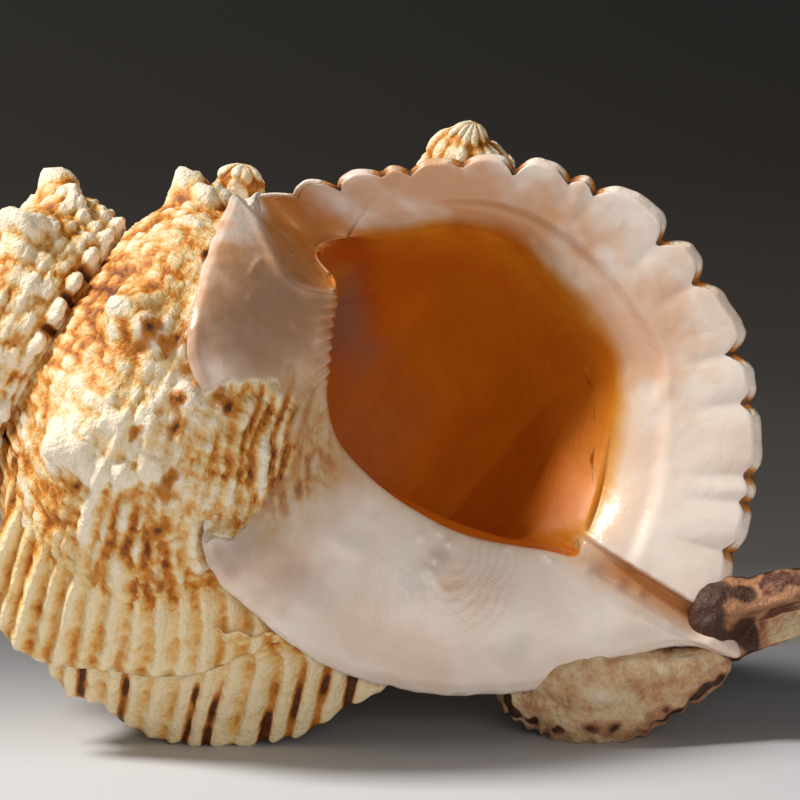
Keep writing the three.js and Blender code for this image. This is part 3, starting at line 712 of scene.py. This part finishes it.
t, drop, radius = under_skin(front_rings)
push, crest, stain = ornament(t, np.minimum(drop, BASE_DROP), around(front_rings[..., 0], radius, t))
far = np.hypot(front_rings[..., 1], front_rings[..., 2])
inner = within(station, 10.5, 13.5, 18.8, 19.2)
parietal = inner * ease(56, 49, drop)
thin = ease(1.4, 0.5, radii_off(front_rings, *THIN_PATCH) + 0.2 * noise(front_rings, 5, 46)) * inner
skin = radius + 0.5 + 0.8 * push
# its lower edge is let down further, to rest on the whorl
resting = ease(0.7, 0.95, front_places)[:, None] * within(station, 14.2, 15.2, 16.4, 17.4)
wanted = far + np.clip(skin - far, -2.5 * thin - 3.5 * resting, 9)
scaled = 1 + (wanted / far - 1) * parietal
front_rings[..., 1:] *= scaled[..., None]
lifted = scaled[0][:, None]
for ring in edge_rings:
    ring[:, 1:] *= lifted
back_rings[-EDGE_ROWS:, :, 1:] *= 1 + (lifted - 1) * np.linspace(0, 1, EDGE_ROWS)[:, None, None]


def bare(points, reach):
    """Where the glaze has run out beside the ear and the last whorl lies open, out to a reach."""
    ragged = 0.18 * noise(points, 5, 48) + 0.1 * noise(points, 2, 49)
    return ease(reach + 0.2, reach - 0.1, radii_off(points, *BARE_PATCH) + ragged)


sections = [front_rings[-1], throat_ring(THROAT_STEP)]
sections += [tube_ring(t) for t in np.arange(-2 * TUBE_STEP, TUBE_END - 1, -TUBE_STEP)]
tube_places = np.linspace(0, len(sections) - 1, 3 * len(sections))[1:]
tube_rings = smooth_line(np.array(sections), tube_places)
mouth_grid = np.concatenate([back_rings, edge_rings, front_rings, tube_rings])
t, drop, radius = under_skin(mouth_grid)
below = radius + ornament(t, np.minimum(drop, BASE_DROP), around(mouth_grid[..., 0], radius, t))[0] - 1.2
far = np.hypot(mouth_grid[..., 1], mouth_grid[..., 2])
sunk = bare(mouth_grid, BARE_REACH) * (mouth_grid[..., 2] > MOUTH_SIDE) * np.minimum(below - far, 0) / far
mouth_grid[..., 1:] *= 1 + sunk[..., None]
solid_rings = len(back_rings) + len(edge_rings)
fronts = slice(solid_rings, solid_rings + len(front_rings))
# distance in from the throat's edge, which fades out over a few millimetres round the outer lip
THROAT_FADE = 4.5
steps = np.linalg.norm(np.diff(mouth_grid, axis=0, prepend=mouth_grid[:1]), axis=-1)
depth = np.cumsum(steps, axis=0)
depth -= depth[fronts.stop - 1]
depth[fronts.stop:] += THROAT_FADE * within(station, 8.4, 9.4, 19.4, 20)
depth += THROAT_FADE * within(station, 0, 1, 7.5, 8.4)
depth += 1.5 * noise(mouth_grid, 6, 47) * outer_lip
tints_and_painted_light = np.stack([fields(mouth_grid, patches) for patches in (PEACH_AND_SHADE, AMBER_GLOW_AND_SHADE, GREY_AND_SHADE)], -1)
# painted glow: the groove beside the fold and the slit are tinted peach and amber for light shining through
# the thin shell
groove = within(fold_away, -0.4, 0.8, 4, 15) * (fold_place < 1)
for kind, share in ((0, groove), (1, 0.7 * groove), (1, 0.9 * slit)):
    tints_and_painted_light[fronts, :, kind] = np.maximum(tints_and_painted_light[fronts, :, kind], share)
flat = np.zeros(mouth_grid.shape[:2])
rim = flat.copy()
rim[:len(back_rings)] = 1 - within(station, 18.7, 19.0, 19.8, 20)
rim[len(back_rings):solid_rings] = 0.4 + 0.7 * notched * outer_lip
w = front_places[:, None]
rim[fronts] = (0.4 * ease(0.955, 0.99, w) + notched * ease(0.93, 0.99, w)) * outer_lip
glaze, grooves, brown, lines = flat.copy(), flat + 0.85, flat.copy(), flat.copy()
opened = bare(front_rings, BARE_REACH + 0.2)
rim[fronts] = np.maximum(rim[fronts], 1.1 * opened)
veil = np.maximum(thin, opened)
glaze[fronts], brown[fronts], lines[fronts] = veil, stain * veil, ripple
grooves[fronts] += (crest - 0.85) * veil
brown[:solid_rings + 4] = np.maximum(brown[:solid_rings + 4], 0.9 * notched * outer_lip)
mouth = sheet("mouth", mouth_grid, {
    "depth": depth, "tints_and_painted_light": tints_and_painted_light, "rim": rim, "glaze": glaze, "crest": grooves, "lines": lines,
    "marks": np.stack([brown, flat, flat], -1)}, wrapped=True, ends=(-1,))

# porcelain over chalk: a glassy white coat, flushed with peach, that turns amber in the throat
# sizes of its clouds and wisps, and the depths where its tones start and end, in mm
CLOUD, WISP, SHALLOW, DEEP = 16, 3.5, -5.0, 20.0
PEACH_FLUSH_AND_SHADE, AMBER_GLOW_AND_SHADE_TONE, GREY_AND_SHADE_TONE, RIPPLED, VEILED = "#E2AE80", "#C8822E", "#8C7F78", "#CDB094", "#B48A68"
# the deep stops are the shell's orange, brightened as painted glow
DEPTH_AND_GLOW_STOPS = [(0.0, "#F3E7DC"), (0.20, "#F0DCC6"), (0.30, "#E8B470"), (0.38, "#E2942A"), (0.50, "#E08410"),
               (1.0, "#DC7606")]
porcelain, tree = new_material("porcelain shell")
place = add(tree, "TexCoord", out="Object")
mm = add(tree, "VectorMath", {"operation": "SCALE"}, i0=place, i3=1000)
cloud = add(tree, "TexNoise", Vector=mm, Scale=1 / CLOUD, Detail=2)
wisp = add(tree, "TexNoise", Vector=mm, Scale=1 / WISP, Detail=4)
depth_in = add(tree, "Attribute", {"attribute_name": "depth"}, out="Fac")
depth_in = add(tree, "MapRange", i0=depth_in, i1=SHALLOW, i2=DEEP)
colour = add(tree, "ValToRGB", {"stops": DEPTH_AND_GLOW_STOPS}, i0=depth_in)
# these tints carry real peach flushes and grey spots, painted shade on the ear and top lip, and painted glow
# in the fold's pocket and the slit
tint = add(tree, "Attribute", {"attribute_name": "tints_and_painted_light"}, out="Vector")
peach, amber, grey = (add(tree, "SeparateXYZ", out=k, i0=tint) for k in range(3))
flush = add(tree, "MapRange", i0=cloud, i1=0.45, i2=0.75, i4=0.35)
peach = add(tree, "Math", {"operation": "MAXIMUM"}, i0=peach, i1=flush)
line = add(tree, "Attribute", {"attribute_name": "lines"}, out="Fac")
line = add(tree, "MapRange", i0=line, i1=0.1, i2=0.9, i4=0.5)
for mix, mask, code in ((WASH, peach, PEACH_FLUSH_AND_SHADE), (BLEND, amber, AMBER_GLOW_AND_SHADE_TONE), (BLEND, grey, GREY_AND_SHADE_TONE),
                        (WASH, line, RIPPLED)):
    colour = add(tree, "Mix", mix, out=2, i0=mask, i6=colour, i7=linear(code))
under_colour, grain = chalk_look(tree)
veiled = add(tree, "Mix", BLEND, out=2, i0=0.52, i6=under_colour, i7=linear(VEILED))
thinness = add(tree, "Attribute", {"attribute_name": "glaze"}, out="Fac")
colour = add(tree, "Mix", BLEND, out=2, i0=thinness, i6=colour, i7=veiled)
edge = add(tree, "Attribute", {"attribute_name": "rim"}, out="Fac")
edge = add(tree, "Math", SCALED_SUM, i0=wisp, i1=0.8, i2=edge)
edge = add(tree, "MapRange", SMOOTH, i0=edge, i1=0.75, i2=1.25)
colour = add(tree, "Mix", BLEND, out=2, i0=edge, i6=colour, i7=under_colour)
gloss = add(tree, "Math", {"operation": "MAXIMUM"}, i0=edge, i1=depth_in)
gloss = add(tree, "MapRange", i0=gloss, i1=0.2, i2=0.6, i3=0.28, i4=0.55)
fine_grain = add(tree, "Math", {"operation": "MULTIPLY"}, i0=grain, i1=edge)
fine_grain = add(tree, "Math", SCALED_SUM, i0=wisp, i1=0.25, i2=fine_grain)
finish(tree, colour, fine_grain, gloss)
mouth.data.materials.append(porcelain)


# The whorls: the chalky outside of the coil, from the tip of the spire to the lip, in one sheet.
# Where the inner lip covers the last whorl, the sheet sinks out of its way.
COIL_START, COIL_END, FINEST_STEP = -1811, -20.5, 0.9
WALL_COLUMNS, BASE_COLUMNS, COVER_SINK = 60, 44, 2.2
# places of the wall's and the base's end among the guide points, after three of the collar
WALL_END = 3 + len(WALL)
BASE_END = WALL_END + len(BASE)
angles = [COIL_END]
while angles[-1] > COIL_START:
    angles.append(angles[-1] - FINEST_STEP / growth(angles[-1]) ** 0.6)
angles = np.array(angles[::-1])
wall_places = np.linspace(0, WALL_END, WALL_COLUMNS, endpoint=False)
at = np.concatenate([wall_places, np.linspace(WALL_END, BASE_END, BASE_COLUMNS)])
guides = profile(angles)
drops, heights, radii = (smooth_line(guides[:, k], at) for k in range(3))
turn = np.broadcast_to(angles, drops.shape)
slope_h, slope_r = np.gradient(heights, axis=0), np.gradient(radii, axis=0)
length = np.hypot(slope_h, slope_r) + 1e-9
plain = around(heights, radii, turn)
push, crest, stain = ornament(turn, drops, plain)
outline = smooth_line(MOUTH[:, :2], fine_places, True) - MOUTH_CENTRE
facing = np.arctan2(outline[:, 1], outline[:, 0])
order = np.argsort(facing)
off = plain[..., :2] - MOUTH_CENTRE
reach = np.interp(np.arctan2(off[..., 1], off[..., 0]), facing[order], np.hypot(*outline.T)[order])
inward = reach - np.hypot(off[..., 0], off[..., 1])
last_whorl = turn > COIL_END - 360
covered = ease(1, 4, inward) * (plain[..., 2] > MOUTH_SIDE) * last_whorl * (1 - bare(plain, BARE_REACH))
push -= COVER_SINK * covered * (1 + 1.5 * ease(4, 14, inward)) + 2.5 * ease(COIL_END - 4, COIL_END, turn)
outside = around(heights - slope_r / length * push, np.maximum(radii + slope_h / length * push, 0), turn)
yellow = within(turn, -246, -226, -200, -150) * ease(-8, 0, drops) * last_whorl
pale = 0.8 * bump(turn + 256, 34) * bump(drops - 7, 18) + 0.3 * bump(turn + 318, 25) + 0.5 * (turn < -500)
whorls = sheet("whorls", outside, {"crest": crest, "marks": np.stack([stain, yellow, pale], -1)},
               keep=last_whorl | (at[:, None] <= WALL_END))
whorls.data.materials.append(chalk)
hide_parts("shell")


# Two old lips: edges of earlier mouths, left standing across the last whorl when it grew on.
# Each rises from the wall over a sixth of a turn and drops away behind its ribbed edge.
# free edge: along the axis, outward, to the viewer
OLD_LIP = [(29, -51, 20), (37, -56, 19), (45, -55, 18), (52, -56.5, 18), (60, -55.5, 18), (68, -53, 18),
           (76, -48, 17), (84, -41, 16), (89, -33, 15), (95, -27, 14)]
OLD_LEDGE = [(13, -42, 32), (19, -46, 31), (25, -50, 31), (33, -50, 31), (44, -46, 31), (52, -43.5, 30),
             (60, -39, 29), (68, -31, 28), (75, -23, 26)]
OLD_SWEEP, OLD_COLUMN, OLD_DEEPEST, OLD_RISE, FAN_LIMIT = 27, 0.6, 14, 1.9, -215
# how brown the stripe between two ribs is, by its number along the edge
OLD_STRIPES = {2: 0.6, 4: 0.8, 7: 0.7, 8: 0.9, 10: 1.0, 11: 1.0, 12: 0.9, 13: 1.0}


def old_lip(name, edge, brown):
    """Lip that rises from the wall to a free edge, then drops back behind it."""
    fine = smooth_line(edge, np.linspace(0, len(edge) - 1, 2001))
    run = run_along(fine)
    steps = np.linspace(0, run[-1], int(run[-1] / OLD_COLUMN))
    line = np.stack([np.interp(steps, run, fine[:, k]) for k in range(3)], -1)
    turn = np.degrees(np.arctan2(line[:, 2], line[:, 1]))
    reach = np.hypot(line[:, 1], line[:, 2])
    taper = within(steps, 0, 3, run[-1] - 3, run[-1])
    lift = (reach - np.maximum(under_skin(line)[2], reach - OLD_DEEPEST)) * taper
    rings, crests, stains = [], [], []
    for w in np.concatenate([np.linspace(0, 1, 40), -np.linspace(0.95, 0, 12)]):
        outer = w >= 0
        swing = turn - OLD_SWEEP * (1 - w) if outer else turn + 2 + 3 * (1 + w)
        h = line[:, 0] - 3 * (1 - abs(w))
        t, drop, wall = under_skin(around(h, reach, swing))
        ground = np.maximum(wall, reach - OLD_DEEPEST) - (1.5 if outer else 4) * (1 - abs(w))
        skin = around(h, wall, swing)
        push, crest, stain = ornament(t, drop, skin)
        place = rib_place(np.minimum(t, FAN_LIMIT), drop, skin)
        rib = bump((place - np.round(place)) * RIB_PITCH, 1.8)
        thread = bump((place - np.floor(place) - 0.5) * RIB_PITCH, 1.5)
        apart = ease(0.1, 0.5, w) if outer else 1
        relief = (3.0 * rib + 2.4 * thread - 1.5) * (1 if outer else 1 + w)
        relief = (push + (relief - push) * apart) * (1 - 0.35 * bump(abs(w) - 1, 0.1))
        plain = around(h, ground + lift * abs(w) ** (OLD_RISE if outer else 0.7) + relief, swing)
        layers = np.stack([steps, 25 * w + 0 * steps, 0 * steps], -1)
        flakes = 0.35 * noise(layers / [3, 1, 1], 1.2, 14) + 0.3 * noise(plain, 3.5, 6)
        rings.append(plain + (around(0, 1, swing) * (flakes * apart)[:, None]))
        ridge = 0.16 + 0.10 * brown + 0.5 * np.maximum(rib, 0.9 * thread) + 0.3 * flakes
        crests.append(crest + (ridge - crest) * apart)
        groove = np.minimum(np.abs((place * 2 - np.round(place * 2)) * RIB_PITCH / 2), 9)
        pick = sum(shade * (np.floor(place * 2) == number) for number, shade in OLD_STRIPES.items())
        streak = ease(1.3, 0.3, np.abs(groove - 2.3)) * pick * brown
        streak = streak * (0.85 + 0.9 * noise(plain, 4, 16)) * ease(0.3, 0.9, w if outer else 1)
        stains.append(stain + (streak - stain) * apart)
    stains = np.array(stains)
    marks = np.stack([stains, 0.6 + 0 * stains, 0.2 + 0 * stains], -1)
    made = sheet(name, np.array(rings), {"crest": np.clip(crests, 0, 1), "marks": marks})
    made.data.materials.append(chalk)


old_lip("old_lip", OLD_LIP, brown=1.5)
old_lip("old_ledge", OLD_LEDGE, brown=0.4)


# The canal at the front end, a gutter that opens forward and down, the older canal under it, the
# knobs behind the lip, and the rounded tip that closes the spire. Each is a round, tapering
# length of solid shell along a curved line.
# line and radius: along the axis, outward, to the viewer, radius
CANAL = [(141.5, 10, -5, 8), (145, 11.5, -3.5, 8.6), (148.5, 14, -2.5, 8.2), (153, 17.5, -2, 7.2),
         (158, 22, -1, 6.6), (163.5, 27, -0.5, 5.9), (169, 32, 0, 5), (172.5, 35, 0.5, 3.8)]
OLD_CANAL = [(112, -19, 1, 4), (116.5, -17.5, 1, 6.2), (123, -16, 1.5, 7.4), (129.5, -15.1, 2, 8),
             (135.5, -11.8, 2.5, 7.2), (141, -6.8, 1.5, 5.8), (146.5, -0.8, 0.5, 4.2), (151.5, 6.2, -1, 2.3)]
LIP_KNOB = [(61, 67, -24, 8), (60.5, 69.5, -20, 9.5), (59.5, 72, -15, 9), (58, 76.5, -13, 6),
            (57.5, 80.5, -12, 2.6)]
APEX = [(-42, 0, 0, 8.6), (-48, 0, 0, 9), (-52, 0, 0, 8.4), (-55.5, 0, 0, 7.0), (-58, 0, 0, 5.2),
        (-60, 0, 0, 2.8)]
NOTCH_KNOB = [(21.5, 44, -13, 3.5), (21, 46, -10, 4.6), (20.5, 48.5, -7.5, 4.8), (19.4, 52.5, -7, 3.2)]
GUTTER_TURN, GUTTER_HALF, GUTTER_DEPTH = 118, 38, 0.72
ROD_COLUMNS = 128


def plainly_round(turns, part):
    return 1


def unmarked(turns, part, grid):
    return np.zeros(grid.shape)


def rod(name, path, flatten, nodules, shape=plainly_round, marks=unmarked, material=chalk):
    """Closed round length of shell along a path, shaped by the turn and the part of its length."""
    places = np.linspace(0, len(path) - 1, 14 * len(path))
    line = smooth_line(path, places)
    along = run_along(line[:, :3])[:, None]
    forward = unit(np.gradient(line[:, :3], axis=0))
    side = unit(np.cross([0, 0, 1], forward))
    up = np.cross(forward, side)
    turns = np.linspace(0, 2 * math.pi, ROD_COLUMNS, endpoint=False)[None, :]
    part = places[:, None] / (len(path) - 1)
    left = np.minimum(along, along[-1] - along) / line[[0, -1], 3].mean()
    r = line[:, 3:] * shape(turns, part) * np.sqrt(1 - np.clip(1 - left, 0, 0.98) ** 2)
    outward = side[:, None] * np.cos(turns)[..., None] + up[:, None] * (flatten * np.sin(turns))[..., None]
    grid = line[:, None, :3] + outward * r[..., None]
    lumps = grains(turns * line[:, 3:].max(), along + 0 * r, 4.2, 4.2, 51)
    rough = 0.35 * noise(grid, 3.2, 21) + 0.2 * noise(grid, 1.4, 22) + nodules * lumps
    crest = np.clip(0.35 + 0.5 * (lumps - 0.3) * min(nodules, 1) + 0.2 * rough, 0, 1)
    values = {"crest": crest, "marks": marks(turns, part, grid)}
    made = sheet(name, grid + outward * rough[..., None], values, wrapped=True, ends=(0, -1))
    made.data.materials.append(material)


def canal_shape(turns, part):
    """Share of the radius that the open gutter leaves."""
    away = np.abs(np.degrees(np.angle(np.exp(1j * (turns - math.radians(GUTTER_TURN))))))
    gutter = ease(GUTTER_HALF, GUTTER_HALF - 9, away) * ease(0.22, 0.4, part)
    return 1 - GUTTER_DEPTH * gutter


def old_canal_shape(turns, part):
    """Wider on one side, with a scalloped edge."""
    scallops = 0.07 * bump(turns - 2.8, 0.5) * np.sin(90 * part)
    return 1 + 0.7 * np.maximum(np.cos(turns), 0) + scallops


def canal_marks(turns, part, grid):
    """Dark stains round the open end, and pale inside the gutter; elsewhere the tone is pushed down to
    brown, partly the canal's own colour and partly painted shade.
    """
    none = np.zeros(grid.shape[:2])
    lower = within(turns, 2.3, 2.6, 3.9, 4.2) * ease(0.35, 0.5, part)
    dark = 1.5 * bump(part - 0.14, 0.22) + 0.2 + 1.1 * noise(grid, 4, 25)
    # partly painted shade: away from the pale strip the tone is pushed down to brown
    return np.stack([dark * (1 - lower), 0.3 + none, 2.4 * lower - 2.3 + none], -1)


def old_canal_marks(turns, part, grid):
    """Dark spots along the scalloped edge, and dots behind it."""
    none = np.zeros(grid.shape[:2])
    low = 1.3 * bump(turns - 2.35, 0.42) * (0.5 + 1.6 * noise(grid, 2.4, 23)) * ease(0.35, 0.5, part)
    dots = 1.2 * ease(0.2, 0.5, noise(grid, 2.4, 24)) * ease(0.55, 0.3, part) * ease(1.3, 1.7, turns)
    return np.stack([np.maximum(low, dots) + none, none, none - 0.2], -1)


# the same chalky shell, greyer, darker and duller at the front end
dull_chalk, tree = new_material("darkened shell")
colour, grain = chalk_look(tree)
colour = add(tree, "HueSaturation", Saturation=0.78, Value=0.82, Color=colour)
finish(tree, colour, grain, roughness=0.55, shine=0.3)

rod("canal", CANAL, 1, 0.2, canal_shape, canal_marks, dull_chalk)
rod("old_canal", OLD_CANAL, 1.25, 0.12, old_canal_shape, old_canal_marks, dull_chalk)
rod("lip_knob", LIP_KNOB, flatten=0.9, nodules=1.3)
rod("notch_knob", NOTCH_KNOB, flatten=1, nodules=1.3)
rod("apex", APEX, flatten=1, nodules=1)
